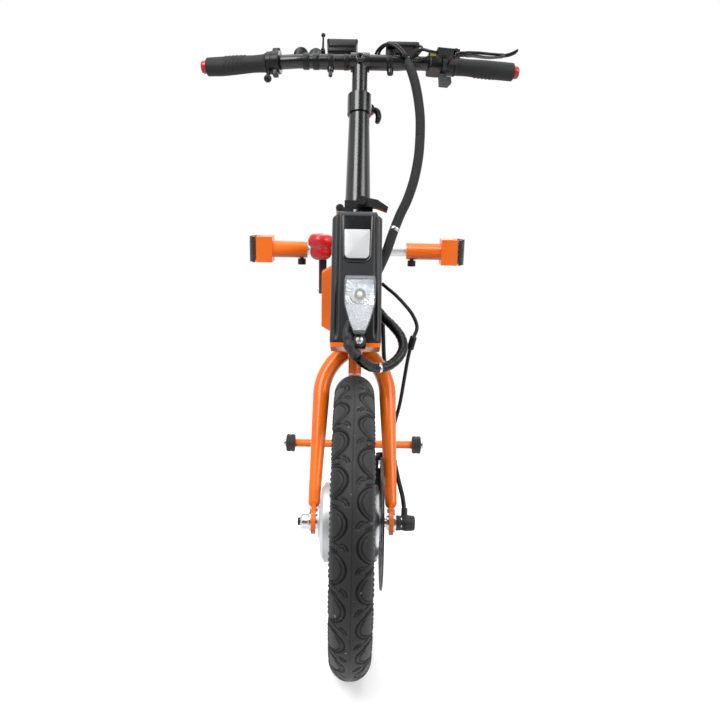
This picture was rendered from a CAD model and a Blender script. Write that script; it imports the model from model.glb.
import bmesh
import bpy
import numpy as np
from math import acos, asin, cos, pi, radians, sin
from mathutils import Matrix


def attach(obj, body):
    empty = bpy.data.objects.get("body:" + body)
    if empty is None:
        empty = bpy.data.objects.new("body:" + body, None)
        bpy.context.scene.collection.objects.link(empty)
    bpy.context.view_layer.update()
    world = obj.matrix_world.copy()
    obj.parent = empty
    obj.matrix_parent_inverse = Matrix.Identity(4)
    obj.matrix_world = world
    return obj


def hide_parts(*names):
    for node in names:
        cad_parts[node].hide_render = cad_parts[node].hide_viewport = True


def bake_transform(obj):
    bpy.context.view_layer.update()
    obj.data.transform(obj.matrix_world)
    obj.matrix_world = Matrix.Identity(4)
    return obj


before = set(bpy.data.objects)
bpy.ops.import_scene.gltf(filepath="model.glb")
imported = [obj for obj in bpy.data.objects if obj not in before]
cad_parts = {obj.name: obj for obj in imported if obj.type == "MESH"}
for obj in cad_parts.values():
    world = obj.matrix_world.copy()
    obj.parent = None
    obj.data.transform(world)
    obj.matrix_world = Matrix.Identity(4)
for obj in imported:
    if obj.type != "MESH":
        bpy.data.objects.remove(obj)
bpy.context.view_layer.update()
MM = 0.001

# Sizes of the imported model, in millimetres
TYRE_R = 203.0
TYRE_HALF = 27.5
TYRE_MID = TYRE_R - TYRE_HALF
BEAD_R = 151.5
LEAN = radians(24)
RAKE = 40.0
REACH = 640.0
CLAMP_D = 44.0
AXLE_Y = (TYRE_R - REACH - CLAMP_D / 2) / 2
AXLE_Z = TYRE_R
PIVOT_Y = AXLE_Y + RAKE * cos(LEAN)
PIVOT_Z = AXLE_Z - RAKE * sin(LEAN)
CROSS_Y = AXLE_Y + REACH
CROSS_Z = 513.0
STAND_REACH = 500.0
STAND_Y = AXLE_Y + STAND_REACH
STAND_Z = 132.0

# Heights along the steering axis, from the point where the fork legs' plane meets it
MEET_H = 232.9775
MEET_Z = MEET_H * cos(asin(RAKE / MEET_H))
SHELF_RISE = 12.0
SHELF_TOP = MEET_Z + SHELF_RISE
HEAD_REACH = 205.0
FOLD_RISE = 30.3
POST_RISE = 162.4
COLLAR_Z = MEET_Z + HEAD_REACH + FOLD_RISE + POST_RISE
COLLAR_L = 32.0
BAR_RISE = 59.0
BAR_Z = COLLAR_Z + COLLAR_L + BAR_RISE

# Battery box and lamp
CASE_GAP = 0.3
CASE_Z = SHELF_TOP + CASE_GAP
CASE_W = 71.0
CASE_D = 73.0
CASE_H = 190.0
CASE_TOP = CASE_Z + CASE_H
CASE_BACK = -24.5
CASE_FRONT = CASE_BACK - CASE_D
LAMP_X = 5.0
LAMP_BACK = CASE_FRONT - 9.0
LAMP_LOW = SHELF_TOP + 7.0
LAMP_TALL = 81.0
CHIP_Z = 56.0

# Handlebar
BAR_R = 11.1
BAR_HALF = 250.0
BAR_MID = 92.0
BAR_BEND = 100.0
SWEEP = radians(8)
BAR_END_X = BAR_MID + BAR_BEND * sin(SWEEP)
BAR_END_Y = BAR_BEND * (1 - cos(SWEEP))
BAR_END_L = (BAR_HALF - BAR_END_X) / cos(SWEEP)
GRIP_L = 102.0
GRIP_U = BAR_END_L - GRIP_L
BRAKE_TURN = radians(6)

ORIGIN = (0, 0, 0)
ACROSS = (1, 0, 0)
BACKWARD = (0, 1, 0)
FORWARD = (0, -1, 0)
UPWARD = (0, 0, 1)


# Places: each turns points in a piece's own millimetres into the row frame's metres

def turn(a, b, angle):
    """Pair of coordinates turned by an angle in their plane."""
    return a * cos(angle) - b * sin(angle), a * sin(angle) + b * cos(angle)


def row(p):
    """Row frame: millimetres to metres."""
    return np.asarray(p, float) * MM


def steered(p):
    """Steering frame (x, y, s): turned by the lean about X and moved to the foot of the steering axis."""
    p = np.asarray(p, float)
    y, z = turn(p[..., 1], p[..., 2], -LEAN)
    return row(np.stack([p[..., 0], y + PIVOT_Y, z + PIVOT_Z], -1))


def on_bar(p):
    """Bar frame: the steering frame moved up to the middle of the handlebar."""
    return steered(np.asarray(p, float) + [0, 0, BAR_Z])


def bar_end(side):
    """Frame of a swept bar end: X runs outwards along the tube, turned back by the sweep, mirrored on the
    left."""
    def place(p):
        """Points of the bar end in the row frame."""
        p = np.asarray(p, float)
        x, y = turn(p[..., 0], p[..., 1], SWEEP)
        return on_bar(np.stack([side * (BAR_END_X + x), BAR_END_Y + y, p[..., 2]], -1))
    return place


def brake_frame(p):
    """Frame of the brake lever: the right bar end turned a little about the tube."""
    p = np.asarray(p, float)
    y, z = turn(p[..., 1], p[..., 2], BRAKE_TURN)
    return bar_end(1)(np.stack([p[..., 0], y, z], -1))


def on_axle(p):
    """Wheel frame: Z of the piece lies along the axle."""
    p = np.asarray(p, float)
    return row(np.stack([p[..., 2], p[..., 1] + AXLE_Y, AXLE_Z - p[..., 0]], -1))


def beside_axle(p):
    """Row frame moved to the middle of the axle."""
    return row(np.asarray(p, float) + [0, AXLE_Y, AXLE_Z])


# Shapes: arrays of points on a grid of two parameters

def skin(name, points, wrap_u=False, caps=True, uv=False):
    """Mesh over a grid of points, u along the piece and v round it; caps closes the end rings to their
    middles."""
    nu, nv = points.shape[:2]
    verts = points.reshape(-1, 3)
    a, b = np.meshgrid(np.arange(nu if wrap_u else nu - 1), np.arange(nv), indexing="ij")
    a1 = (a + 1) % nu
    b1 = (b + 1) % nv
    faces = np.stack([a * nv + b, a1 * nv + b, a1 * nv + b1, a * nv + b1], -1).reshape(-1, 4).tolist()
    if caps and not wrap_u:
        verts = np.concatenate([verts, points[0].mean(0)[None], points[-1].mean(0)[None]])
        j = np.arange(nv)
        k = (j + 1) % nv
        first = np.stack([np.full(nv, nu * nv), j, k], -1).tolist()
        last = np.stack([np.full(nv, nu * nv + 1), (nu - 1) * nv + k, (nu - 1) * nv + j], -1).tolist()
        faces = faces + first + last
    mesh = bpy.data.meshes.new(name)
    mesh.from_pydata(verts.tolist(), [], faces)
    if uv:
        layer = mesh.uv_layers.new(name="UVMap")
        u, v = np.meshgrid(np.linspace(0, 1, nu), np.arange(nv) / nv, indexing="ij")
        grid = np.concatenate([np.stack([u, v], -1).reshape(-1, 2), [[0, 0], [1, 0]]])
        loops = np.empty(len(mesh.loops), dtype=np.int32)
        mesh.loops.foreach_get("vertex_index", loops)
        layer.data.foreach_set("uv", grid[loops].astype(np.float32).reshape(-1))
    work = bmesh.new()
    work.from_mesh(mesh)
    bmesh.ops.recalc_face_normals(work, faces=work.faces)
    work.to_mesh(mesh)
    work.free()
    mesh.polygons.foreach_set("use_smooth", np.ones(len(mesh.polygons), dtype=bool))
    obj = bpy.data.objects.new(name, mesh)
    bpy.context.scene.collection.objects.link(obj)
    return obj


def sharpen(obj, angle=35):
    """Marks edges sharper than the angle, so that flat faces shade flat."""
    work = bmesh.new()
    work.from_mesh(obj.data)
    limit = radians(angle)
    for edge in work.edges:
        edge.smooth = len(edge.link_faces) == 2 and edge.calc_face_angle() < limit
    work.to_mesh(obj.data)
    work.free()
    return obj


def even(curve, count):
    """Points at count even distances along a line of points."""
    run = np.concatenate([[0], np.cumsum(np.linalg.norm(np.diff(curve, axis=0), axis=1))])
    at = np.linspace(0, run[-1], count)
    return np.stack([np.interp(at, run, column) for column in curve.T], -1)


def spline(points, count):
    """Catmull-Rom curve through the points: a cubic between each pair, cut into count even steps."""
    p = np.asarray(points, float)
    q = np.concatenate([p[:1], p, p[-1:]])
    t = np.linspace(0, len(p) - 1, 40 * len(p))
    i = np.minimum(t.astype(int), len(p) - 2)
    f = (t - i)[:, None]
    a, b, c, d = q[i], q[i + 1], q[i + 2], q[i + 3]
    square = (2 * a - 5 * b + 4 * c - d) * f ** 2
    cube = (3 * b - a - 3 * c + d) * f ** 3
    return even(0.5 * (2 * b + (c - a) * f + square + cube), count)


def rings(path, radius, sides, ref=BACKWARD):
    """Circles round a path: at each point, radius times (side cos + up sin), square to the path's
    direction."""
    t = np.gradient(path, axis=0)
    t /= np.linalg.norm(t, axis=1)[:, None]
    a = np.cross(t, np.asarray(ref, float))
    a /= np.linalg.norm(a, axis=1)[:, None]
    b = np.cross(t, a)
    ang = (np.arange(sides) * 2 * pi / sides)[:, None]
    r = np.broadcast_to(np.asarray(radius, float), (len(path),))[:, None, None]
    return path[:, None] + r * (a[:, None] * np.cos(ang) + b[:, None] * np.sin(ang))


def lathe(profile, origin, axis, sides=64):
    """Surface of revolution: each (radius, height) of the profile goes round the axis through origin."""
    prof = np.asarray(profile, float)[:, :, None, None]
    axis = np.asarray(axis, float) / np.linalg.norm(axis)
    ref = np.array(BACKWARD if abs(axis[1]) < 0.9 else ACROSS, float)
    a = np.cross(axis, ref)
    a /= np.linalg.norm(a)
    b = np.cross(axis, a)
    ang = (np.arange(sides) * 2 * pi / sides)[:, None]
    ring = a * np.cos(ang) + b * np.sin(ang)
    return np.asarray(origin, float) + prof[:, 0] * ring + prof[:, 1] * axis


def rounded(points, radius, steps=5):
    """Profile with each inner corner replaced by a short arc, a quadratic between the points radius to each
    side."""
    p = np.asarray(points, float)
    corner = p[1:-1]

    def towards(other):
        """Point on the way to the next corner, radius along and at most half way."""
        gap = np.maximum(np.linalg.norm(other - corner, axis=1), 1e-6)
        return (corner + (other - corner) * np.minimum(0.5, radius / gap)[:, None])[:, None]

    t = np.linspace(0, 1, steps)[None, :, None]
    arcs = towards(p[:-2]) * (1 - t) ** 2 + 2 * corner[:, None] * t * (1 - t) + towards(p[2:]) * t ** 2
    return np.concatenate([p[:1], arcs.reshape(-1, p.shape[1]), p[-1:]])


def loop_rect(half_w, half_d, radii, steps=6, inset=0.0):
    """Rounded rectangle: four quarter circles about the corners, walked in order and drawn in by inset."""
    corners = []
    for k, (sx, sy, r) in enumerate(zip((1, -1, -1, 1), (1, 1, -1, -1), np.broadcast_to(radii, 4))):
        a = np.linspace(0, pi / 2, steps) + k * pi / 2
        middle = [sx * (half_w - r), sy * (half_d - r)]
        corners.append(np.stack([np.cos(a), np.sin(a)], -1) * (r - inset) + middle)
    return np.concatenate(corners)


def soft_box(size, r, edge, steps=4):
    """Box with rounded uprights and rims: rounded rectangles stacked along Z, drawn in by edge at both
    ends."""
    w, d, h = size
    least_r = 0.3
    a = np.linspace(0, pi / 2, steps)
    inset = np.concatenate([[edge], edge * (1 - np.sin(a)), edge * (1 - np.cos(a)), [edge]])
    z = np.concatenate([[0], edge * (1 - np.cos(a)), h - edge * (1 - np.sin(a)), [h]])
    loops = np.stack([loop_rect(w / 2 - i, d / 2 - i, max(r - i, least_r)) for i in inset])
    heights = np.broadcast_to(z[:, None, None], loops.shape[:2] + (1,))
    return np.concatenate([loops, heights], -1)


def tilt_x(p, degrees):
    """Points turned about X."""
    y, z = turn(p[..., 1], p[..., 2], radians(degrees))
    return np.stack([p[..., 0], y, z], -1)


# Shader groups shared by the finishes

NOISE_LOW = 0.3
NOISE_HIGH = 0.7
SPECK_EDGE = 12.0
GROOVE = "groove"


def feed(tree, socket, value):
    """Sets a socket to a plain value, or links another node's output to it."""
    if isinstance(value, bpy.types.NodeSocket):
        tree.links.new(value, socket)
    else:
        socket.default_value = value


def add(tree, kind, group=None, **inputs):
    """New node, of a shared group if one is given; its inputs, named with _ for a space, are fed one by
    one."""
    node = tree.nodes.new(kind)
    if group:
        node.node_tree = group
    for label, value in inputs.items():
        feed(tree, node.inputs[label.replace("_", " ")], value)
    return node


def calc(tree, kind, *values):
    """Output of a math node fed with one or two values."""
    node = tree.nodes.new("ShaderNodeMath")
    node.operation = kind
    for socket, value in zip(node.inputs, values):
        feed(tree, socket, value)
    return node.outputs[0]


def noise(tree, vector, scale, detail=3.0):
    """Noise of a position."""
    return add(tree, "ShaderNodeTexNoise", Vector=vector, Scale=scale, Detail=detail).outputs["Fac"]


def new_group(name, values, outputs):
    """Shader group with a Vector input, an input for each named value and the named outputs."""
    tree = bpy.data.node_groups.new(name, "ShaderNodeTree")
    tree.interface.new_socket(name="Vector", in_out="INPUT", socket_type="NodeSocketVector")
    for label, value in values.items():
        socket = tree.interface.new_socket(name=label, in_out="INPUT", socket_type="NodeSocketFloat")
        socket.default_value = value
    for label in outputs:
        tree.interface.new_socket(name=label, in_out="OUTPUT", socket_type="NodeSocketFloat")
    return tree, tree.nodes.new("NodeGroupInput").outputs, tree.nodes.new("NodeGroupOutput").inputs


def make_grain():
    """Broad tone and fine grain: two noises of one position, at the scales given."""
    scales = {"Tone Scale": 18.0, "Grain Scale": 900.0}
    tree, given, result = new_group("surface_grain", scales, ("Tone", "Grain"))
    feed(tree, result["Tone"], noise(tree, given["Vector"], given["Tone Scale"]))
    feed(tree, result["Grain"], noise(tree, given["Vector"], given["Grain Scale"], 2.0))
    return tree


def make_turned():
    """Turning marks: noise of the distance from the axle, so it changes only outwards and along the axle."""
    tree, given, result = new_group("turning_marks", {"Scale": 900.0}, ("Rings",))
    part = add(tree, "ShaderNodeSeparateXYZ", Vector=given["Vector"]).outputs
    y = calc(tree, "SUBTRACT", part["Y"], AXLE_Y * MM)
    z = calc(tree, "SUBTRACT", part["Z"], AXLE_Z * MM)
    square = calc(tree, "ADD", calc(tree, "MULTIPLY", y, y), calc(tree, "MULTIPLY", z, z))
    both = add(tree, "ShaderNodeCombineXYZ", X=calc(tree, "SQRT", square), Y=part["X"]).outputs["Vector"]
    feed(tree, result["Rings"], noise(tree, both, given["Scale"], 1.0))
    return tree


def make_dust():
    """Pale specks: a fine noise less the cut, sharpened and held between 0 and 1."""
    tree, given, result = new_group("dust_specks", {"Scale": 260.0, "Cut": 0.66}, ("Mask",))
    over = calc(tree, "SUBTRACT", noise(tree, given["Vector"], given["Scale"], 1.0), given["Cut"])
    held = add(tree, "ShaderNodeClamp", Value=calc(tree, "MULTIPLY", over, SPECK_EDGE))
    feed(tree, result["Mask"], held.outputs["Result"])
    return tree


GRAIN = make_grain()
TURNED = make_turned()
DUST = make_dust()


# Finishes

def linear(rgb):
    """Display colour from 0 to 255 as a linear one from 0 to 1."""
    c = np.asarray(rgb, float) / 255
    return np.where(c <= 0.04045, c / 12.92, ((c + 0.055) / 1.055) ** 2.4)


def rgba(c):
    """Linear colour as a solid socket value."""
    return (float(c[0]), float(c[1]), float(c[2]), 1.0)


def mix_colour(tree, factor, a, b):
    """Colour between a and b by the factor."""
    node = tree.nodes.new("ShaderNodeMix")
    node.data_type = "RGBA"
    for label, value in (("Factor", factor), ("A", a), ("B", b)):
        feed(tree, node.inputs[label], value)
    return node.outputs["Result"]


def spread(tree, value, low, high):
    """A noise's usual range stretched to low and high."""
    return add(tree, "ShaderNodeMapRange", Value=value, From_Min=NOISE_LOW, From_Max=NOISE_HIGH, To_Min=low,
               To_Max=high).outputs["Result"]


def bump(tree, height, strength, distance):
    """Normal bent by a height."""
    return add(tree, "ShaderNodeBump", Strength=strength, Distance=distance, Height=height).outputs["Normal"]


def finish(name, rgb, rough, tone=0.12, tone_scale=18.0, grain_scale=900.0, grain=0.15, depth=0.0002,
           wander=0.06, dust=None, turned=False, deep=None, **sockets):
    """Finish from the shared groups: base colour varied by tone, roughness and bump by grain or turning
    marks, the deep colour in grooves, and dust, given as its scale, cut and colour, on top."""
    mat = bpy.data.materials.new(name)
    mat.use_nodes = True
    tree = mat.node_tree
    shader = tree.nodes["Principled BSDF"].inputs
    place = tree.nodes.new("ShaderNodeTexCoord").outputs["Object"]
    noises = add(tree, "ShaderNodeGroup", GRAIN, Vector=place, Tone_Scale=tone_scale,
                 Grain_Scale=grain_scale).outputs
    fine = noises["Grain"]
    if turned:
        fine = add(tree, "ShaderNodeGroup", TURNED, Vector=place).outputs["Rings"]
    base = linear(rgb)
    darker = rgba(base * (1 - tone))
    paler = rgba(np.minimum(base * (1 + tone), 1.0))
    colour = mix_colour(tree, spread(tree, noises["Tone"], 0.0, 1.0), darker, paler)
    if deep:
        mask = tree.nodes.new("ShaderNodeAttribute")
        mask.attribute_name = GROOVE
        colour = mix_colour(tree, mask.outputs["Fac"], colour, rgba(linear(deep)))
    if dust:
        scale, cut, dust_rgb = dust
        specks = add(tree, "ShaderNodeGroup", DUST, Vector=place, Scale=scale, Cut=cut)
        colour = mix_colour(tree, specks.outputs["Mask"], colour, rgba(linear(dust_rgb)))
    feed(tree, shader["Base Color"], colour)
    feed(tree, shader["Roughness"], spread(tree, fine, max(rough - wander, 0.02), rough + wander))
    if grain:
        feed(tree, shader["Normal"], bump(tree, fine, grain, depth))
    for label, value in sockets.items():
        feed(tree, shader[label.replace("_", " ")], value)
    return mat


def woven(name, rgb, across, along):
    """Braided sleeve: two waves over the tube's own grid, one leaning each way, and the higher of them as
    height."""
    mat = finish(name, rgb, 0.62, grain=0.0)
    tree = mat.node_tree
    part = add(tree, "ShaderNodeSeparateXYZ", Vector=tree.nodes.new("ShaderNodeUVMap").outputs["UV"]).outputs
    u = calc(tree, "MULTIPLY", part["X"], along * 2 * pi)
    v = calc(tree, "MULTIPLY", part["Y"], across * 2 * pi)
    strands = [calc(tree, "SINE", calc(tree, kind, u, v)) for kind in ("ADD", "SUBTRACT")]
    weave = bump(tree, calc(tree, "MAXIMUM", *strands), strength=0.6, distance=0.0006)
    feed(tree, tree.nodes["Principled BSDF"].inputs["Normal"], weave)
    return mat


orange = finish("orange_enamel", (255, 117, 18), 0.3, tone=0.05, grain_scale=500, grain=0.03, Coat_Weight=0.3,
                Coat_Roughness=0.18, Specular_IOR_Level=0.3)
black_gloss = finish("black_enamel", (20, 21, 23), 0.24, tone=0.25, grain=0.02, Coat_Weight=0.3,
                     Coat_Roughness=0.1)
black_satin = finish("black_anodised", (15, 16, 18), 0.24, tone=0.2, grain=0.05)
case_black = finish("case_plastic", (36, 37, 39), 0.36, tone=0.15, grain_scale=1600, grain=0.2,
                    dust=(900.0, 0.8, (84, 84, 85)), Specular_IOR_Level=0.4)
panel_black = finish("panel_gloss", (22, 23, 25), 0.14, tone=0.2, grain=0.02, Coat_Weight=0.6,
                     Coat_Roughness=0.05)
pod_black = finish("control_plastic", (16, 17, 19), 0.36, tone=0.2, grain_scale=1500, Specular_IOR_Level=0.32)
grip_black = finish("grip_rubber", (32, 33, 34), 0.62, tone=0.15, grain_scale=1400, grain=0.3, depth=0.0003,
                    Specular_IOR_Level=0.35)
cable_black = finish("cable_jacket", (15, 16, 17), 0.34, tone=0.2, grain_scale=700, grain=0.1,
                     Specular_IOR_Level=0.32)
rubber_black = finish("moulded_rubber", (27, 27, 28), 0.55, tone=0.2, grain=0.3,
                      dust=(500.0, 0.74, (110, 108, 104)))
tyre_black = finish("tyre_rubber", (50, 50, 51), 0.5, tone=0.22, grain_scale=700, grain=0.3, depth=0.0004,
                    dust=(190.0, 0.745, (150, 149, 145)), deep=(5, 5, 6), Specular_IOR_Level=0.18)
silver = finish("polished_alloy", (206, 208, 210), 0.4, tone=0.06, grain=0.1, turned=True, Metallic=0.7)
bright = finish("bright_steel", (190, 192, 195), 0.24, tone=0.08, grain=0.08, Metallic=1.0)
brushed = finish("brushed_plate", (200, 201, 202), 0.4, tone=0.05, grain_scale=1200, Metallic=0.3)
dark_steel = finish("blackened_steel", (74, 75, 78), 0.4, tone=0.15, turned=True, Metallic=0.8)
rim_black = finish("rim_enamel", (26, 27, 29), 0.32, tone=0.2, grain=0.06, turned=True, Coat_Weight=0.3)
red = finish("red_moulding", (196, 18, 28), 0.34, tone=0.08, grain_scale=1100, grain=0.1, Coat_Weight=0.25)
olive = finish("olive_moulding", (112, 98, 30), 0.5, tone=0.2, grain_scale=1100, grain=0.2)
grey = finish("grey_moulding", (54, 56, 58), 0.5, grain_scale=1200, grain=0.25)
copper = finish("copper_winding", (170, 96, 52), 0.4, tone=0.2, grain=0.3, Metallic=0.7)
cell_blue = finish("cell_wrap", (40, 92, 160), 0.35, tone=0.08, grain=0.1)
chip = finish("lamp_chip", (254, 244, 196), 0.4, tone=0.06, grain=0.05)
mirror_silver = finish("reflector_silver", (226, 231, 236), 0.12, tone=0.06, grain=0.03, Metallic=0.9)
prism = finish("prism_reflector", (184, 187, 191), 0.22, tone=0.35, tone_scale=560.0, grain_scale=700,
               grain=0.3, depth=0.0005, Metallic=0.5)
sleeve = woven("woven_sleeve", (16, 17, 18), 14, 130)
lens_clear = finish("clear_lens", (232, 238, 244), 0.05, tone=0.02, grain=0.06, wander=0.02, Alpha=0.1)


# Placing

def put(obj, body, material, nodes=()):
    """Gives a piece its finish, its body and the nodes it stands for."""
    obj.data.materials.clear()
    obj.data.materials.append(material)
    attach(obj, body)
    if nodes:
        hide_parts(*nodes)


def paint(material, *names):
    """Gives solids their finish."""
    for name in names:
        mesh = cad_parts[name].data
        mesh.materials.clear()
        mesh.materials.append(material)


def ease(width, *names):
    """Rounds the sharp edges of solids: their triangles are welded and the edges steeper than the limit
    bevelled."""
    for name in names:
        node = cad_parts[name]
        weld = node.modifiers.new("weld", "WELD")
        weld.merge_threshold = 1e-5
        bevel = node.modifiers.new("bevel", "BEVEL")
        bevel.width = width * MM
        bevel.segments = 2
        bevel.limit_method = "ANGLE"
        bevel.angle_limit = radians(50)
        bevel.harden_normals = True


paint(orange, "fork", "main_frame", "left_arm", "right_arm", "stand")
paint(black_gloss, "lower_post", "inner_post", "stem_base", "clamp_collar", "caliper", "headset_bearings",
      "dock_saddle", "left_strap", "right_strap")
paint(pod_black, "fold_lever", "brake_perch", "left_knob", "right_knob", "throttle_lever", "bell_striker",
      "lamp_bracket")
paint(silver, "hub_shell", "hub_cover", "cross_tube")
paint(bright, "spokes", "axle", "hub_bearings", "caliper_arm")
paint(dark_steel, "brake_disc", "magnet_ring", "brake_pads")
paint(rim_black, "rim")
paint(copper, "stator")
paint(cell_blue, "battery_cells")
paint(rubber_black, "inner_tube")
paint(olive, "pod_button")
paint(grey, "thumb_paddle")
ease(2.0, "main_frame", "dock_saddle")
ease(1.2, "left_arm", "right_arm", "stand", "left_strap", "right_strap")


# Wheel

def make_tyre():
    """Tyre: its section is an arc of the tyre's half width; the tread sinks by up to its depth where a
    groove runs. Each side has one half-moon block a pitch, open to the shoulder and staggered between sides:
    an ellipse about the shoulder gives its groove, a smaller one its inner line. Between half-moons run
    hooked sipes and shoulder bars, the edge is notched, and a fine seam follows the middle."""
    repeats = 25
    around = 960
    depth = 2.4
    wall_sink = 1.6
    shoulder_at = 40.0
    moon_at = 36.0
    moon_wide = 29.5
    moon_long = 21.5
    moon_mm = 24.0
    moon_w = 1.35
    inner_share = 0.83
    inner_from = -13
    hook_at = 13.5
    hook_run = 5.0
    hook_r = 9.0
    small_hook_r = 5.6
    fine_w = 0.8
    bar_step = 7.0
    bar_w = 1.0
    bar_from = 15
    notches = 7
    notch_w = 1.5
    notch_from = 29
    seam_w = 0.7
    inner_r = 23.3
    bead_h = 5.5
    bead_out = 16.5
    bead_in = 13.0
    ang = np.arange(around) * 2 * pi / around
    wall = np.array([94, 103, 112, 121])
    arc = np.radians(np.concatenate([-wall[::-1], np.linspace(-86, 86, 77), wall]))
    pitch = TYRE_R * 2 * pi / repeats
    c, w = np.meshgrid(ang * TYRE_R, arc * TYRE_HALF, indexing="ij")
    across = np.abs(w)
    run = (c + np.where(w + 1e-6 > 0, 0.0, pitch / 2)) % pitch - pitch / 2
    mid_run = (run + pitch) % pitch - pitch / 2

    def line(distance, width):
        """1 on a line, falling to 0 a little past its width."""
        return np.clip(1.25 - np.abs(distance) / width, 0, 1)

    def past(start):
        """0 up to a distance from the middle, rising to 1 within 3 mm."""
        return np.clip((across - start) / 3, 0, 1)

    moon = np.sqrt(((moon_at - across) / moon_wide) ** 2 + (run / moon_long) ** 2)
    edge_groove = line((moon - 1.0) * moon_mm, moon_w)
    inner_line = 0.8 * line((moon - inner_share) * moon_mm, fine_w) * (run > inner_from)
    hook = np.hypot(across - hook_at, mid_run - hook_run)
    hooks = 0.9 * line(hook - hook_r, 0.9) * (across < hook_at) * (mid_run < hook_run)
    small_hooks = 0.8 * line(hook - small_hook_r, fine_w) * (across < hook_at + 1) * (mid_run < hook_run)
    slant = (mid_run * 0.9 + 0.35 * (across - 20)) % bar_step - bar_step / 2
    bars = line(slant, bar_w) * past(bar_from) * (moon > 1.06)
    notch = line((run + pitch) % (pitch / notches) - pitch / notches / 2, notch_w) * past(notch_from)
    seam = 0.4 * line(across, seam_w)
    shoulder = np.clip((shoulder_at - across) / 2.5, 0, 1)
    marks = np.maximum.reduce([edge_groove, inner_line, hooks, small_hooks, bars, notch, seam])
    groove = np.clip(marks, 0, 1) * shoulder
    height = TYRE_HALF - (depth * groove + wall_sink * (1 - shoulder))
    bead = np.array([[BEAD_R + bead_h, bead_out], [BEAD_R, bead_out], [BEAD_R, bead_in],
                     [BEAD_R + bead_h, bead_in]])
    back_arc = np.radians(np.linspace(118, -118, 9))
    back = np.stack([TYRE_MID + inner_r * np.cos(back_arc), inner_r * np.sin(back_arc)], -1)
    low = np.concatenate([bead, back, bead[::-1] * [1, -1]])
    r = np.concatenate([TYRE_MID + height * np.cos(arc), np.tile(low[:, 0], (around, 1))], 1)
    x = np.concatenate([height * np.sin(arc), np.tile(low[:, 1], (around, 1))], 1)
    a = ang[:, None]
    obj = skin("tyre_tread", on_axle(np.stack([r * np.cos(a), r * np.sin(a), x], -1)), wrap_u=True)
    mask = obj.data.attributes.new(GROOVE, "FLOAT", "POINT")
    dark = np.concatenate([groove, np.zeros((around, len(low)))], 1)
    mask.data.foreach_set("value", dark.astype(np.float32).reshape(-1))
    put(obj, "wheel", tyre_black, ["tyre"])


def make_valve():
    """Tyre valve: a short turned stem that stands on the rim's inner face."""
    stem = rounded([(0, 118), (2.6, 118), (2.6, 126), (3.4, 126), (3.4, 130), (2.4, 130), (2.4, 140.4),
                    (0, 140.4)], 0.4, 3)
    put(skin("valve_stem", on_axle(lathe(stem, ORIGIN, (-1, 0.2, 0), 20))), "wheel", bright)


def make_nuts():
    """Axle ends: a turned, domed nut and a black tip on the left, a swelling rubber boot with six soft
    flats, drawn as a wave round it, on the right."""
    leftward = (-1, 0, 0)
    nut = rounded([(6.2, 57), (12.5, 57), (12.5, 60), (10.4, 60.4), (10.4, 69), (8.2, 71.2), (6.2, 71.2)],
                  0.9, 4)
    put(skin("left_dome_nut", beside_axle(lathe(nut, ORIGIN, leftward, 48)), caps=False), "steering", bright)
    tip = rounded([(0, 71.0), (5.4, 71.0), (5.4, 74.6), (4.6, 75.2), (0, 75.2)], 0.6, 4)
    put(skin("left_axle_tip", beside_axle(lathe(tip, ORIGIN, leftward, 32))), "steering", rubber_black)
    boot_x, boot_l, sides, flat_depth = 59.4, 27.0, 60, 0.035
    u = np.linspace(0, 1, 40)
    r = np.interp(u, [0, 0.08, 0.3, 0.55, 0.85, 0.97, 1], [9.6, 10.6, 10.0, 11.4, 10.8, 10.0, 7.6])
    boot = lathe(np.stack([r, boot_x + boot_l * u], -1), ORIGIN, ACROSS, sides)
    wave = np.cos(6 * np.arange(sides) * 2 * pi / sides)
    flats = 1 + flat_depth * wave * np.clip((u - 0.25) / 0.2, 0, 1)[:, None]
    boot[..., 1:] *= flats[..., None]
    put(skin("right_axle_boot", beside_axle(boot)), "steering", rubber_black, ["cable_boot"])


make_tyre()
make_valve()
make_nuts()


# Battery box

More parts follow.
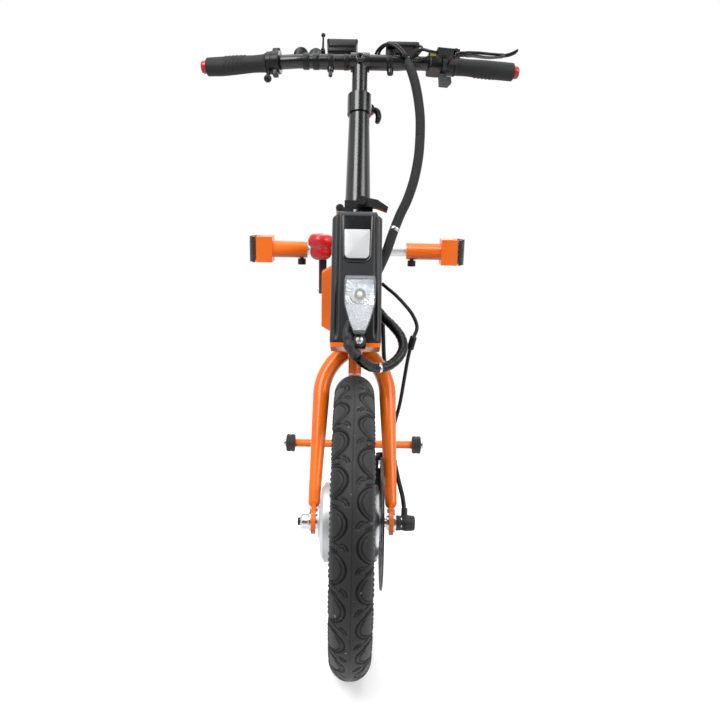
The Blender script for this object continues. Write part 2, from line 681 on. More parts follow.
def make_case():
    """Battery box: rounded rectangle drawn up the steering axis, rims drawn in at both ends. Upright flutes,
    bells of their distance, are pressed into the front corners and the sides, and the top slopes down past
    its middle."""
    corner_r = 10.0
    low_rim = 3.0
    top_rim = 9.0
    steps = 40
    flute_x = 27.0
    flute_w = 1.7
    flute_depth = 3.0
    side_rows = np.array([-24.0, -12.0, 0.0, 12.0])
    side_w = 1.8
    side_depth = 1.8
    drop = 5.0
    drop_w = 2.5
    drop_h = 22.0
    perimeter = loop_rect(CASE_W / 2, CASE_D / 2, corner_r, 10)
    loop = even(np.concatenate([perimeter, perimeter[:1]]), 361)[:-1]
    tangent = np.roll(loop, -1, 0) - np.roll(loop, 1, 0)
    normal = np.stack([tangent[:, 1], -tangent[:, 0]], -1)
    normal /= np.linalg.norm(normal, axis=1)[:, None]
    rise = 1 - np.cos(np.linspace(0, pi / 2, 8))
    fall = 1 - np.sin(np.linspace(0, pi / 2, 8))
    z = np.concatenate([[0], low_rim * rise, np.linspace(low_rim, CASE_H - top_rim, steps)[1:-1],
                        CASE_H - top_rim * fall, [CASE_H]])
    inset = np.concatenate([[low_rim], low_rim * fall, np.zeros(steps - 2), top_rim * rise, [top_rim]])

    def bell(distance, width, depth):
        """Smooth dip of a depth about distance 0."""
        return np.exp(-(distance / width) ** 2) * depth

    front = loop[:, 1] < -CASE_D / 2 + 4
    side = np.abs(loop[:, 0]) > CASE_W / 2 - 1
    flute = np.where(front, bell(np.abs(loop[:, 0]) - flute_x, flute_w, flute_depth), 0)
    flute = flute + np.where(side, bell(loop[:, 1:] - side_rows, side_w, side_depth).sum(1), 0)
    fade = np.clip((z - 6) / 8, 0, 1) * np.clip((CASE_H - 2 - z) / 10, 0, 1)
    shrink = (inset[:, None] + fade[:, None] * flute[None])[..., None]
    flat = loop[None] - normal[None] * shrink
    outer = np.clip((np.abs(flat[..., 0]) - flute_x) / drop_w, 0, 1)
    slope = drop * outer * np.clip((z[:, None] - CASE_H + drop_h) / drop_h, 0, 1)
    points = np.concatenate([flat, (z[:, None] - slope)[..., None]], -1)
    points = points + [0, (CASE_FRONT + CASE_BACK) / 2, CASE_Z]
    put(skin("battery_box", steered(points)), "steering", case_black, ["battery_case", "battery_lid"])


def tongue(size, taper, r_low, r_top, edge):
    """Tapered tongue: a rectangle with large lower and small upper corners, wider at its top by taper,
    carried forward and drawn in by edge at its front rim."""
    w, h, thick = size
    rim = np.linspace(0, pi / 2, 5)
    insets = np.concatenate([[0], edge * (1 - np.cos(rim))])
    depths = np.concatenate([[0], thick - edge * (1 - np.sin(rim))])
    layers = []
    for inset, depth in zip(insets, depths):
        x, z = loop_rect(w / 2, h / 2, (r_top, r_top, r_low, r_low), 8, inset).T
        layers.append(np.stack([x * (1 + taper * z / h), np.full(len(x), -depth), z], -1))
    return np.stack(layers)


def make_front_panel():
    """Gloss tongue on the box's front, a round bead that runs down, round the foot and up, and the plain
    plate."""
    panel = tongue((38.0, 66.0, 1.4), 0.09, 9.0, 1.5, 0.6) + [0, CASE_FRONT + 0.5, CASE_TOP - 41.0]
    put(sharpen(skin("front_panel", steered(panel))), "steering", panel_black)
    foot = CASE_TOP - 76.0
    corner = 9.0
    foot_half = 9.6
    a = np.linspace(0, pi / 2, 9)
    side = [(20.0, CASE_TOP - 30.0), (20.8, CASE_TOP - 9.0)]
    bend = np.stack([foot_half + corner * np.sin(a), foot + corner - corner * np.cos(a)], -1)
    right = np.concatenate([bend, side])
    xz = np.concatenate([right[::-1] * [-1, 1], right])
    path = spline(np.stack([xz[:, 0], np.full(len(xz), CASE_FRONT - 0.1), xz[:, 1]], -1), 110)
    put(skin("panel_bead", steered(rings(path, 1.5, 12))), "steering", panel_black)
    plate = tongue((35.0, 42.0, 2.4), 0.07, 6.5, 1.6, 0.7) + [0, CASE_FRONT - 0.2, CASE_TOP - 50.5]
    put(sharpen(skin("silver_plate", steered(plate))), "steering", brushed, ["battery_case"])


make_case()
make_front_panel()


# Headlight

def on_lamp(x, y, z):
    """Lamp frame: x from its middle, y from its back, z from its foot."""
    return steered(np.stack([x + LAMP_X, y + LAMP_BACK, z + LAMP_LOW], -1))


def lamp_half(t):
    """Half width of the lamp at height t from 0 at its foot to 1 at its top, through hand picked widths."""
    return np.interp(t, [0, 0.04, 0.2, 0.5, 0.62, 0.93, 1.0], [6.8, 8.8, 14.0, 20.8, 21.6, 21.2, 19.6])


def lamp_face(t, q, scale=1.0):
    """Front face point: q from -1 to 1 across, t up, the whole outline scaled about its middle."""
    x = q * lamp_half(t) * scale
    z = (t - 0.5) * LAMP_TALL * scale + 0.5 * LAMP_TALL
    return x, z


def lamp_sheet(name, x, front, back, z, material, nodes=()):
    """Closed sheet: its front face and, behind it, its back walked the other way."""
    back = np.broadcast_to(back, front.shape)
    points = np.concatenate([on_lamp(x, front, z), on_lamp(x, back, z)[:, ::-1]], 1)
    put(skin(name, points), "lamp", material, nodes)


def make_lamp():
    """Lamp: outlines of the face carried back and drawn in make the shell; a silver dish turned about the
    chip, a stepped surround and a lower plate of small pyramids lie in it, under a bowed clear lens with
    ribbed sides."""
    n = 60
    t = np.concatenate([np.linspace(0, 1, n), np.linspace(1, 0, n)])
    q = np.repeat([1.0, -1.0], n)
    layers = []
    for scale, y in ((0.35, 0.0), (0.66, -0.2), (0.84, -3.5), (0.93, -9.0), (0.95, -13.5), (0.91, -13.5),
                     (0.89, -8.0)):
        x, z = lamp_face(t, q, scale)
        layers.append(on_lamp(x, np.full(2 * n, y), z))
    put(skin("lamp_housing", np.stack(layers)), "lamp", panel_black, ["lamp_shell"])

    rim_y, bow, rib_depth, rib_step, glass_t = -14.0, 6.2, 0.35, 3.4, 1.4
    t, q = np.meshgrid(np.linspace(0.0, 1.0, 80), np.linspace(-1, 1, 48), indexing="ij")
    x, z = lamp_face(t, q)
    ribs = rib_depth * np.sin(2 * pi * z / rib_step) * np.clip((np.abs(q) - 0.72) / 0.1, 0, 1) * (t > 0.5)
    dome = (1 - q ** 8) * (1 - (2 * t - 1) ** 10)
    front = rim_y - (bow + ribs) * dome
    lamp_sheet("lamp_glass", x, front, front + glass_t * dome + 0.6, z, lens_clear, ["lamp_lens"])

    sides, facets, facet_depth, wall = 64, 16, 0.9, 0.8
    chip_place = np.array([LAMP_X, LAMP_BACK, CHIP_Z + LAMP_LOW])
    u = np.linspace(0, 1, 26)
    dish_prof = np.stack([2.6 + 10.6 * u, 2.0 + 6.5 * u ** 2], -1)
    dish = lathe(dish_prof, chip_place + [0, -5.5, 0], FORWARD, sides)
    dish[..., 1] += facet_depth * (np.cos(np.arange(sides) * 2 * pi / sides * facets) > 0) * u[:, None]
    dish = np.concatenate([dish, dish[::-1] + [0, wall, 0]])
    put(skin("lamp_dish", steered(dish), wrap_u=True), "lamp", mirror_silver)
    bulb = rounded([(0, 0), (3.6, 0), (3.6, 2.2), (2.8, 4.4), (0, 5.0)], 0.8, 4)
    bulb = lathe(bulb, chip_place + [0, -8.4, 0], FORWARD, 28)
    put(skin("lamp_chip", steered(bulb)), "lamp", chip, ["lamp_led"])

    inner_scale, dish_r, rays, ring_step = 0.93, 13.0, 24, 3.0
    t, q = np.meshgrid(np.linspace(0.5, 0.97, 90), np.linspace(-1, 1, 90), indexing="ij")
    x, z = lamp_face(t, q, inner_scale)
    far = np.hypot(x, z - CHIP_Z)
    ray = np.cos(rays * np.arctan2(z - CHIP_Z, x))
    step = np.where(far > dish_r, 1.4 * (ray > 0) + 0.9 * ((far / ring_step) % 1), -2.0)
    lamp_sheet("lamp_surround", x, -11.0 - step, -8.6, z, mirror_silver)

    pyramid_step = 2.4
    t, q = np.meshgrid(np.linspace(0.03, 0.5, 120), np.linspace(-1, 1, 90), indexing="ij")
    x, z = lamp_face(t, q, inner_scale)
    pyramid = np.abs(((x + z) / pyramid_step) % 1 - 0.5) + np.abs(((x - z) / pyramid_step) % 1 - 0.5)
    lamp_sheet("lamp_prism", x, -14.4 - pyramid, -11.0, z, prism)


def make_lamp_socket():
    """Cable gland on the lamp's left: a ribbed rubber cap bowed over the end of the thick cable."""
    u = np.linspace(0, 1, 30)
    path = spline([(3, -106, 220), (-7, -110, 232), (-11, -110, 252), (-8, -106, 268)], 30)
    cap_r, rib_rise, rib_pace, tip_narrower = 7.2, 0.9, 22, 2.0
    r = cap_r + rib_rise * np.sin(u * rib_pace) * (u < 0.55) - tip_narrower * np.clip((u - 0.6) / 0.4, 0, 1)
    put(skin("lamp_cable_cap", steered(rings(path, r, 18))), "steering", rubber_black)


def make_lamp_bolt():
    """Bolt under the lamp: a rubber boss on the bracket and a domed steel head with a crossed recess, sunk
    where either arm of the cross runs."""
    at = (LAMP_X, CASE_FRONT - 8.0, SHELF_TOP + 1.0)
    boss = rounded([(0, -3), (9.0, -3), (9.6, 2.0), (8.0, 5.0), (0, 5.0)], 1.5, 5)
    put(skin("lamp_boss", steered(lathe(boss, at, FORWARD, 40))), "steering", rubber_black)
    head_r, head_h, head_bow, arm_half, arm_l, recess = 5.6, 8.0, 2.2, 0.8, 3.4, 1.3
    r = np.linspace(0, head_r, 24)
    head = lathe(np.stack([r, head_h - head_bow * (r / head_r) ** 2], -1), ORIGIN, FORWARD, 96)
    across, up = head[..., 0], head[..., 2]
    cross = (np.minimum(np.abs(across), np.abs(up)) < arm_half) & (np.hypot(across, up) < arm_l)
    head[..., 1] += recess * cross
    foot = lathe([(head_r, 4.6), (0, 4.6)], ORIGIN, FORWARD, 96)
    put(skin("lamp_bolt", steered(np.concatenate([head, foot]) + at)), "steering", bright)


make_lamp()
make_lamp_socket()
make_lamp_bolt()


# Handlebar and grips

def make_bar():
    """Handlebar: a circle carried along the straight middle, two arcs of the bend radius and the swept ends;
    and the turned bolt of the stem in front of it."""
    thick_half, step_half, thicker, short = 60.0, 74.0, 1.2, 2.0
    a = np.linspace(0, SWEEP, 8)
    middle = [(thick_half, 0, 0), (step_half, 0, 0)]
    bend = np.stack([BAR_MID + BAR_BEND * np.sin(a), BAR_BEND * (1 - np.cos(a)), np.zeros(8)], -1)
    end_l = BAR_END_L - short
    end = [(BAR_END_X + end_l * cos(SWEEP), BAR_END_Y + end_l * sin(SWEEP), 0)]
    right = np.concatenate([middle, bend, end])
    path = np.concatenate([right[::-1] * [-1, 1, 1], right])
    radius = BAR_R + thicker * (np.abs(path[:, 0]) < thick_half + 1)
    put(skin("bar_tube", on_bar(rings(path, radius, 40, UPWARD))), "bar", black_satin, ["handlebar"])
    bolt = rounded([(0, -4), (8.2, -4), (8.2, 2.4), (6.6, 4.2), (3.4, 4.2), (3.4, 1.8), (0, 1.8)], 0.7, 4)
    put(skin("stem_bolt", on_bar(lathe(bolt, (0, -14.2, -1), FORWARD, 40))), "bar", black_gloss)


def make_grips():
    """Grips: a tube whose radius swells into a palm rest on its lower rear side and carries slanted ribs in
    front."""
    n, m = 140, 96
    grip_l = 101.6
    tube_r = 14.3
    waist_depth = 1.0
    palm_rise = 2.6
    rib_step = 6.4
    rib_rise = 0.75
    rib_slant = 5
    flange_rise = 1.8
    end_share = 0.35
    palm_side = radians(250)
    rib_side = radians(160)
    u = np.linspace(0, 1, n)[:, None]
    a = (np.arange(m) * 2 * pi / m)[None]
    swell = np.exp(-((u - 0.72) / 0.24) ** 2)
    lower = np.clip(np.cos(a - palm_side), 0, 1) ** 2
    waist = tube_r - waist_depth * np.exp(-((u - 0.22) / 0.16) ** 2)
    slant = (u * GRIP_L - 34 + rib_slant * np.sin(a)) / rib_step
    inside = (u > 0.34) & (u < 0.68)
    window = inside * np.clip(np.cos(a - rib_side) * 1.6, 0, 1)
    ribs = rib_rise * window * (np.cos(2 * pi * slant) > 0.1)
    flange = flange_rise * np.exp(-((u - 0.015) / 0.02) ** 2)
    end = 1 - end_share * np.clip((u - 0.97) / 0.03, 0, 1) ** 2
    r = (waist + palm_rise * swell * lower + ribs + flange) * end
    for side, name, start in ((-1, "grip_left", 0.0), (1, "grip_right", radians(150))):
        turned = a + start
        p = np.stack([GRIP_U + u * grip_l + 0 * a, r * np.cos(turned), r * np.sin(turned)], -1)
        put(skin(name, bar_end(side)(p)), "bar", grip_black, ["grips"])


def make_caps():
    """Bar end caps: a short turned plug with a domed face, smaller than the grip."""
    plug = rounded([(0, -2), (10.4, -2), (10.4, 4.5), (8.6, 7.4), (0, 8.2)], 1.6, 6)
    for side, name in ((-1, "cap_left"), (1, "cap_right")):
        points = bar_end(side)(lathe(plug, (BAR_END_L, 0, 0), ACROSS, 48))
        put(skin(name, points), "bar", red, ["grips"])


make_bar()
make_grips()
make_caps()


# Controls

BAND_R = BAR_R + 1.8


def block(name, place, size, r, edge, at, material=pod_black, nodes=(), tilt=0.0):
    """Moulded block on the bar: a soft box standing on its place, tilted about X."""
    points = tilt_x(soft_box(size, r, edge), tilt) + np.asarray(at, float)
    put(sharpen(skin(name, place(points)), 50), "bar", material, nodes)


def band(name, place, x0, x1, r_out=BAND_R, nodes=()):
    """Clamp band round the bar: a turned ring with eased rims."""
    r_in = BAR_R + 0.05
    prof = rounded([(r_in, x0), (r_out, x0), (r_out, x1), (r_in, x1)], 1.0, 4)
    prof = np.concatenate([prof, prof[:1]])
    put(skin(name, place(lathe(prof, ORIGIN, ACROSS, 56)), caps=False), "bar", pod_black, nodes)


def make_display():
    """Display: a dished box on two bands, narrower at its foot, with a dark window and a clamp screw under
    the bar."""
    tall, lean = 16, -15
    foot_share, rim_rise, sag = 0.84, 3.4, 1.2
    tub = soft_box((52, 34, tall), 5.0, 3.0)
    rise = np.clip(tub[..., 2] / tall, 0, 1)
    tub[..., 0] *= foot_share + (1 - foot_share) * rise
    tub[..., 2] += rim_rise * rise * np.clip((np.abs(tub[..., 0]) - 17) / 6, 0, 1) - sag * rise
    points = on_bar(tilt_x(tub, lean) + [-29, 9, 19.5])
    put(sharpen(skin("display_box", points), 50), "bar", pod_black, ["display"])
    block("display_window", on_bar, (36, 26, 2.0), 4.0, 0.6, (-29, 12.9, 33.0), panel_black, tilt=lean)
    block("display_foot", on_bar, (46, 20, 8.0), 4.0, 1.5, (-29, 5, 15.8))
    band("display_band_a", on_bar, -51, -43)
    band("display_band_b", on_bar, -26, -18)
    screw = rounded([(0, -27), (2.6, -27), (3.2, -25.5), (3.2, -19), (5.2, -18), (5.6, -11.5), (0, -11.5)],
                    0.6, 3)
    put(skin("display_screw", on_bar(lathe(screw, (-47, -2, 0), UPWARD, 24))), "bar", black_satin)


def make_meter():
    """Flat meter on the right: a thin box on a band, with its clamp screw under the bar."""
    lean = -12
    block("meter_case", on_bar, (54, 30, 10), 4.0, 2.5, (68, 9, 24.0), nodes=["meter_box"], tilt=lean)
    block("meter_glass", on_bar, (46, 22, 1.6), 3.0, 0.5, (68, 11.3, 33.4), panel_black, tilt=lean)
    block("meter_foot", on_bar, (14, 12, 13), 3.0, 1.5, (49, 5, 11.5))
    band("meter_band", on_bar, 42, 51)
    screw = rounded([(0, -22), (4.4, -22), (5.2, -20.5), (5.2, -14), (4.6, -11.4), (0, -11.4)], 0.8, 3)
    put(skin("meter_screw", on_bar(lathe(screw, (48, -2, 0), UPWARD, 24))), "bar", black_satin)


def dome_profile(r, foot, wall, rise):
    """Dome's profile: a foot eased by the pair of sizes, an upright wall and a quarter ellipse over it."""
    a = np.linspace(0, pi / 2, 10)
    over = np.stack([r * np.cos(a), wall + rise * np.sin(a)], -1)
    return np.concatenate([[(0, 0), (r - foot[0], 0), (r, foot[1]), (r, wall)], over])


def make_domes():
    """Round switch and bell on the left: low turned domes on bands, leaning back behind the bar."""
    dome_r = 12.0
    switch_lean = radians(60)
    bell_lean = radians(50)
    switch = dome_profile(dome_r, (0.4, 0.6), 7.5, 8.0)
    switch = lathe(switch, (-96, 12, 19), (0, sin(switch_lean), cos(switch_lean)), 48)
    put(skin("round_switch_dome", on_bar(switch)), "bar", pod_black, ["round_switch"])
    band("switch_band", on_bar, -91, -81)
    block("switch_neck", on_bar, (16, 10, 11), 3.0, 1.2, (-90, 10.5, 6))
    bell = dome_profile(dome_r, (0.6, 0.8), 4.0, 10.0)
    bell = lathe(bell, (-72, 12, 17), (0, sin(bell_lean), cos(bell_lean)), 48)
    put(skin("bell_dome", on_bar(bell)), "bar", grey, ["bell"])
    band("bell_band", on_bar, -75, -65, BAR_R + 1.7)
    block("bell_lug", on_bar, (13, 6, 15), 1.5, 0.8, (-63, 5.4, 8.0), grey)


def make_throttle():
    """Throttle: a collar beside the left grip with a raised cable boss above it and a foot below."""
    place = bar_end(-1)
    u = GRIP_U - 21
    band("throttle_collar", place, u, u + 13, 18.0, ["throttle_body"])
    block("throttle_boss", place, (13, 18, 11), 3.0, 1.5, (u + 6.5, 3, 12))
    block("throttle_foot", place, (9, 12, 11), 2.5, 1.2, (u + 6.5, -2, -24.5))


def make_pod():
    """Switch pod beside the right grip: a moulded block round the bar with an olive top and face."""
    place = bar_end(1)
    u = GRIP_U - 42
    block("pod_body", place, (22, 31, 29), 4.0, 2.0, (u + 11, 0, -14), nodes=["switch_pod"])
    block("pod_top", place, (14, 17, 6.5), 3.0, 1.5, (u + 10, 3, 14), olive)
    block("pod_face", place, (18, 2.4, 8.5), 1.0, 0.6, (u + 10, -15.4, 4), olive)


def make_brake_lever():
    """Brake lever: two rails, ovals drawn along the blade's bowed path, that stand apart in the middle and
    leave a long slot, and meet at the pivot and at the upturned tip."""
    u = GRIP_U - 12
    n = 80
    slot_half = 3.1
    path = spline([(u + 6, -40, 0), (u + 16, -43.2, 0), (u + 34, -46, 0), (u + 60, -45.2, 0.6),
                   (u + 84, -44.2, 4.0), (u + 96, -45.4, 8.0), (u + 104, -48, 13.0)], n)
    t = np.linspace(0, 1, n)
    wide = np.interp(t, [0, 0.1, 0.3, 0.8, 0.92, 0.97, 1], [4.6, 4.6, 4.0, 3.4, 3.8, 4.0, 2.4])
    tall = np.interp(t, [0, 0.14, 0.26, 0.66, 0.78, 0.95, 1], [4.2, 4.2, 2.0, 1.8, 3.0, 3.2, 1.8])
    apart = slot_half * np.sqrt(np.sin(pi * np.clip((t - 0.14) / 0.62, 0, 1)))
    a = np.arange(24) * 2 * pi / 24
    tangent = np.gradient(path, axis=0)
    tangent /= np.linalg.norm(tangent, axis=1)[:, None]
    side = np.stack([-tangent[:, 1], tangent[:, 0], np.zeros(n)], -1)
    up = np.array(UPWARD, float)
    oval = side[:, None] * (wide[:, None] * np.cos(a))[..., None]
    oval = oval + up * (tall[:, None] * np.sin(a))[..., None]
    for name, sign in (("lever_rail_upper", 1), ("lever_rail_lower", -1)):
        rail = path + up * (sign * apart)[:, None]
        put(skin(name, brake_frame(rail[:, None] + oval)), "brake_lever", black_gloss, ["brake_lever"])
    pin = rounded([(0, -8.6), (3.4, -8.6), (3.4, -7.2), (2.4, -7.0), (2.4, 7.0), (3.4, 7.2), (3.4, 8.6),
                   (0, 8.6)], 0.3, 3)
    pin = lathe(pin, (u + 6, -40, 0), UPWARD, 24)
    put(skin("lever_pin", brake_frame(pin)), "brake_lever", black_gloss)


make_display()
make_meter()
make_domes()
make_throttle()
make_pod()
make_brake_lever()


# Cables: routes in the steering frame

LOOM_UPPER = [(75.5, -16.2, 709.6), (80, -23, 692), (86, -26, 668), (91, -26, 640), (94, -25, 610),
              (94, -24, 580)]
LOOM_LOWER = [(94, -24, 580), (92, -22, 550), (86, -20, 515), (76, -18, 482), (64, -16, 455), (53, -14, 425),
              (45, -13, 400), (37, -14.2, 380), (30, -15.6, 364), (27.8, -16.5, 353), (27.5, -16.65, 346)]
LOOP = [(27.5, -16.7, 347), (27, -17.25, 330), (30, -17, 312), (41, -20, 296), (55, -29, 280), (66, -39, 262),
        (68, -49, 243), (59, -57, 226), (43, -64, 214), (26, -76, 211), (13, -92, 214), (3, -106, 220)]
BRAKE = [(38.3, -13.9, 349), (46, -15, 342), (58, -18, 331), (72, -22, 315), (84, -25, 298), (90, -25, 280),
         (84, -24, 262), (78, -18, 238), (73, -2, 205), (68, 14, 172), (60, 24, 140), (53, 21, 114),
         (50.8, 17, 98.5)]
MOTOR = [(72, -40, 14), (70, -36, 34), (65, -27, 56), (60, -13, 82), (54, -3, 112), (50, 3, 145),
         (50, 12, 180), (48, 22, 215), (44, 24, 245), (42, 10, 275), (40, -4, 300)]
LOOM_STEPS = 110
LOOP_STEPS = 120
BRAKE_STEPS = 160
MOTOR_STEPS = 140


def make_looms():
    """Woven sleeve over the wires: a tube along the route, in two lengths that meet half way up the column.
    Each length bends between two bodies, from its point low on the first to its point high on the second."""
    sleeve_r = 7.4
    lengths = (("sleeve_upper", "loom_upper", spline(LOOM_UPPER, 60), "post", "bar", -1, 4),
               ("sleeve_lower", "loom_lower", spline(LOOM_LOWER, LOOM_STEPS), "steering", "post", -20, 2))
    for name, node, path, first, second, low, high in lengths:
        obj = skin(name, steered(rings(path, sleeve_r, 20)), uv=True)
        obj.data.materials.append(sleeve)
        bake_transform(obj)
        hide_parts(node)


def make_cables():
    """Plain cables: circles along their routes, the thick one banded with tape, with a joint on the brake
    line; the bare end of the brake wire and the motor cable's turned gland."""
    loop_r, tape_t, tape_turns = 6.8, 0.25, 26
    brake_r, joint_rise, ferrule_rise, motor_r, wire_r = 2.7, 2.4, 0.6, 3.2, 0.8
    u = np.linspace(0, 1, LOOP_STEPS)
    tape = tape_t * (np.sin(u * 2 * pi * tape_turns) > 0.2)
    loop = rings(spline(LOOP, LOOP_STEPS), loop_r + tape, 20)
    put(skin("thick_lead", steered(loop)), "steering", cable_black, ["cables"])
    t = np.linspace(0, 1, BRAKE_STEPS)
    swell = joint_rise * ((t > 0.36) & (t < 0.43)) + ferrule_rise * ((t > 0.9) & (t < 0.96))
    brake = rings(spline(BRAKE, BRAKE_STEPS), brake_r + swell, 14)
    put(skin("brake_line", steered(brake)), "steering", cable_black)
    motor = rings(spline(MOTOR, MOTOR_STEPS), motor_r, 14)
    put(skin("motor_lead", steered(motor)), "steering", cable_black)
    wire = rings(spline([(50.8, 17, 98.2), (50.8, 16.8, 91.0)], 8), wire_r, 8)
    put(skin("brake_wire", steered(wire)), "steering", bright)
    gland = rounded([(0, 0), (5.6, 0), (5.6, 5.0), (4.4, 7.0), (4.4, 16.0), (3.6, 16.6), (0, 16.6)], 0.8, 4)
    put(skin("motor_gland", steered(lathe(gland, (72, -40, 4), UPWARD, 28))), "steering", rubber_black)


def make_bar_leads():
    """Thin leads from the controls into the sleeve's mouth: circles along routes in the bar frame."""
    mouth = (75.0, -15.5, 712.0 - BAR_Z)
    thin, thick = 2.1, 2.5
    leads = (
        ("lead_display", thin, [(10, 17, 4), (20, 17, 6), (23, 12, 17), (29, 4, 26), (41, -6, 29),
                                (55, -14, 20), (68, -18, 4)]),
        ("lead_display_b", thin, [(14, 17, 0), (25, 19, 5), (28, 14, 18), (34, 6, 28), (46, -4, 31),
                                  (59, -13, 22), (71, -18, 5)]),
        ("lead_left", thin, [(-104, 13, 4), (-86, 14.6, 5), (-60, 14.6, 5), (-30, 14.8, 5), (0, 18.2, 6),
                             (30, 14, 9), (50, 6, 14.2), (62, -7, 13), (70, -14.5, 4)]),
        ("lead_meter", thin, [(86, 0, 26), (95, -11, 23), (97, -19, 14), (90, -21, 2), (81, -19, -4)]),
        ("lead_pod", thin, [(108, -17, 2), (102, -20, -3), (92, -21, -7), (83, -19, -8)]),
        ("lead_brake", thick, [(119, -37, -4), (108, -38.5, -3), (97, -35, 2), (88, -27, 3), (80, -20, -3)]),
    )
    for name, radius, route in leads:
        points = rings(spline(route + [mouth], 70), radius, 12, (0.1, 0.3, 1))
        put(skin(name, on_bar(points)), "bar", cable_black)


def make_ties():
    """Ties and clips: thin bands round a cable, square to its run, on four of its steps."""
    ease_in = np.array([0.6, 0, 0, 0.6])
    ties = (("tie_sleeve", spline(LOOM_LOWER, LOOM_STEPS), 66, 7.9, bright),
            ("tie_leg_a", spline(MOTOR, MOTOR_STEPS), 34, 3.8, black_satin),
            ("tie_leg_b", spline(MOTOR, MOTOR_STEPS), 52, 3.8, black_satin),
            ("tie_loop", spline(LOOP, LOOP_STEPS), 92, 7.6, bright))
    for name, path, at, r, material in ties:
        points = rings(path[at:at + len(ease_in)], r - ease_in, 18)
        put(skin(name, steered(points)), "steering", material)


make_looms()
make_cables()
make_bar_leads()
make_ties()


# Levers and rollers

def make_height_lever():
    """Clamp lever: a turned cam barrel and a handle that leaves it sideways and runs down beside the collar,
    an oval drawn along that path."""
    at = np.array([17.0, 24.0, COLLAR_Z + 22.2])
    broad = 1.2
    path = spline([(5.6, 0, -0.6), (9, 0, -1), (12.4, 0, -4), (14, 0, -10), (13.3, 0, -17), (11, 0, -23)], 40)
    thick = np.interp(np.linspace(0, 1, 40), [0, 0.25, 0.7, 0.95, 1], [4.6, 5.0, 4.8, 3.6, 2.2])
    handle = rings(path, thick, 24) * [1, broad, 1] + at
    put(skin("height_handle", steered(handle)), "height_lever", pod_black, ["height_lever"])
    barrel = lathe(rounded([(0, -6.4), (7.5, -6.4), (7.5, 6.4), (0, 6.4)], 1.0, 4), at, BACKWARD, 40)
    put(skin("height_barrel", steered(barrel)), "height_lever", pod_black, ["height_lever"])


def make_dock_knob():
    """Release lever: a flat arm on its pin and a red mushroom knob, turned from a smooth profile and drawn
    out sideways."""
    x, y, z = -70.0, CROSS_Y - 40.0, CROSS_Z - 79.0
    broad = 1.16
    prof = rounded([(0, 62), (11, 62), (17.6, 68), (19.2, 76), (17.8, 85), (18.6, 88), (22.6, 93),
                    (23.0, 104), (18.0, 114), (0, 116.5)], 4.0, 7)
    knob = lathe(prof, (0, 0, z), UPWARD, 64) * [broad, 1, 1] + [x - 4, y, 0]
    put(skin("release_knob", row(knob)), "dock_lever", red, ["dock_lever"])
    arm = soft_box((16, 12, 72), 4.0, 2.0) + [x, y, z - 8]
    put(sharpen(skin("release_arm", row(arm)), 50), "dock_lever", black_gloss)
    pin = lathe(rounded([(0, -11), (4, -11), (4, 51), (0, 51)], 0.8, 3), (x, y, z), ACROSS, 28)
    put(skin("release_pin", row(pin)), "dock_lever", bright)


def make_rollers():
    """Stand rollers: turned rubber tyres with a shallow middle groove, each held by a turned bolt."""
    roller_x = 119.0
    bolt_x = 137.5
    tyre = rounded([(4.2, 0.5), (16.2, 0.5), (18.0, 2.6), (18.0, 7.4), (17.0, 8.4), (17.0, 10.0),
                    (18.0, 11.0), (18.0, 16.0), (16.2, 18.1), (4.2, 18.1)], 0.9, 4)
    tyre = np.concatenate([tyre, tyre[:1]])
    head = rounded([(4.3, 0), (7.8, 0), (7.8, 3.9), (6.6, 5.0), (0, 5.0)], 0.5, 3)
    for side, name in ((-1, "left_roller"), (1, "right_roller")):
        axis = (side, 0, 0)
        points = lathe(tyre, (side * roller_x, STAND_Y, STAND_Z), axis, 48)
        put(skin(name + "_tyre", row(points), caps=False), name, rubber_black, [name])
        bolt = lathe(head, (side * bolt_x, STAND_Y, STAND_Z), axis, 32)
        put(skin(name + "_bolt", row(bolt)), "frame", bright)


make_height_lever()
make_dock_knob()
make_rollers()


# Floor, light and camera

ROOM_LIGHT = 0.44
ROOM_DIM = 0.16
FLOOR_WHITE = 0.93
FLOOR_GLOW = 0.25
FLOOR_DULL = 0.2
WHITE = (1, 1, 1, 1)
AIM = np.array([0, 0, 0.45])


def mix_shader(tree, factor, a, b):
    """Shader between a and b by the factor."""
    node = tree.nodes.new("ShaderNodeMixShader")
    for socket, value in zip(node.inputs, (factor, a, b)):
        feed(tree, socket, value)
    return node.outputs[0]


def smooth_range(tree, value, low, high):
    """0 below low, 1 above high, with a soft step between them."""
    node = add(tree, "ShaderNodeMapRange", Value=value, From_Min=low, From_Max=high)
    node.interpolation_type = "SMOOTHSTEP"
    return node.outputs["Result"]


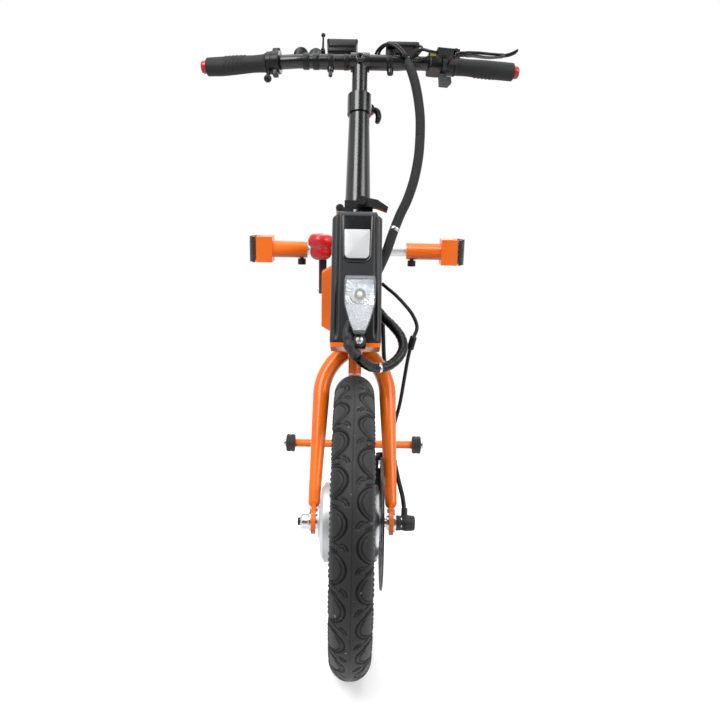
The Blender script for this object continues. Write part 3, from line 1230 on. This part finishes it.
def make_floor():
    """White floor that keeps the shadow near the object, glows far off and throws little light back up."""
    mat = bpy.data.materials.new("studio_floor")
    mat.use_nodes = True
    tree = mat.node_tree
    near = tree.nodes["Principled BSDF"]
    near.inputs["Base Color"].default_value = (FLOOR_WHITE, FLOOR_WHITE, FLOOR_WHITE, 1)
    near.inputs["Roughness"].default_value = 0.8
    near.inputs["Emission Color"].default_value = WHITE
    near.inputs["Emission Strength"].default_value = FLOOR_GLOW
    glow = tree.nodes.new("ShaderNodeEmission").outputs[0]
    far = tree.nodes.new("ShaderNodeVectorMath")
    far.operation = "LENGTH"
    feed(tree, far.inputs[0], tree.nodes.new("ShaderNodeNewGeometry").outputs["Position"])
    fade = add(tree, "ShaderNodeMapRange", Value=far.outputs["Value"], From_Min=0.55, From_Max=1.1)
    both = mix_shader(tree, fade.outputs["Result"], near.outputs[0], glow)
    path = tree.nodes.new("ShaderNodeLightPath").outputs
    mirrored = calc(tree, "MAXIMUM", path["Is Glossy Ray"], path["Is Transmission Ray"])
    seen = calc(tree, "MAXIMUM", mirrored, path["Is Camera Ray"])
    dull = add(tree, "ShaderNodeBsdfDiffuse", Color=(FLOOR_DULL, FLOOR_DULL, FLOOR_DULL, 1)).outputs[0]
    feed(tree, tree.nodes["Material Output"].inputs["Surface"], mix_shader(tree, seen, dull, both))
    bpy.ops.mesh.primitive_plane_add(size=60, location=(0, 20, 0))
    floor = bpy.context.object
    floor.name = "studio_floor"
    floor.data.materials.append(mat)


def make_room():
    """Room: white to the camera; to mirrors and glass dim in front of the object and white at its sides and
    behind it; and an even soft light to the rest."""
    world = bpy.data.worlds.new("studio")
    world.use_nodes = True
    bpy.context.scene.world = world
    tree = world.node_tree
    back = tree.nodes["Background"].inputs
    back["Color"].default_value = WHITE
    path = tree.nodes.new("ShaderNodeLightPath").outputs
    direction = tree.nodes.new("ShaderNodeTexCoord").outputs["Generated"]
    part = add(tree, "ShaderNodeSeparateXYZ", Vector=direction).outputs
    sides = smooth_range(tree, calc(tree, "ABSOLUTE", part["X"]), 0.45, 0.8)
    wall = calc(tree, "MAXIMUM", sides, smooth_range(tree, part["Y"], 0.0, 0.6))
    room = calc(tree, "ADD", calc(tree, "MULTIPLY", wall, 1 - ROOM_DIM), ROOM_DIM)
    mirrored = calc(tree, "MAXIMUM", path["Is Glossy Ray"], path["Is Transmission Ray"])
    more = calc(tree, "MULTIPLY", calc(tree, "SUBTRACT", room, ROOM_LIGHT), mirrored)
    soft = calc(tree, "ADD", more, ROOM_LIGHT)
    feed(tree, back["Strength"], calc(tree, "MAXIMUM", soft, path["Is Camera Ray"]))


def make_lamps():
    """Area lamps, each turned from its place towards the middle of the object."""
    lamps = (("key", (-1.3, -1.7, 3.2), 1.6, 84), ("fill", (2.2, -1.4, 2.2), 1.6, 46),
             ("top", (0, 0.4, 3.2), 2.4, 42), ("rear", (0.6, 2.6, 1.8), 1.6, 20))
    for name, place, size, energy in lamps:
        data = bpy.data.lights.new(name, "AREA")
        data.size = size
        data.energy = energy
        lamp = bpy.data.objects.new(name, data)
        lamp.location = place
        aim = AIM - np.array(place)
        aim = aim / np.linalg.norm(aim)
        lamp.rotation_euler = (acos(-aim[2]), 0, np.arctan2(aim[1], aim[0]) - pi / 2)
        bpy.context.scene.collection.objects.link(lamp)


def make_camera():
    """Camera in front of the wheel, pitched down and rolled a little, as the photo was taken."""
    before_axle, height = 951.0, 0.671
    pitch_down, roll, shift_px, picture_px = 14, 1.0, 5.0, 720.0
    data = bpy.data.cameras.new("photo_camera")
    data.lens = 37.5
    data.sensor_width = 36.0
    data.shift_x = shift_px / picture_px
    camera = bpy.data.objects.new("photo_camera", data)
    camera.location = (0, (AXLE_Y - before_axle) * MM, height)
    pitched = Matrix.Rotation(radians(90 - pitch_down), 3, "X")
    camera.rotation_euler = (pitched @ Matrix.Rotation(radians(roll), 3, "Z")).to_euler()
    bpy.context.scene.collection.objects.link(camera)
    bpy.context.scene.camera = camera


make_floor()
make_room()
make_lamps()
make_camera()
bpy.context.scene.view_settings.view_transform = "Standard"
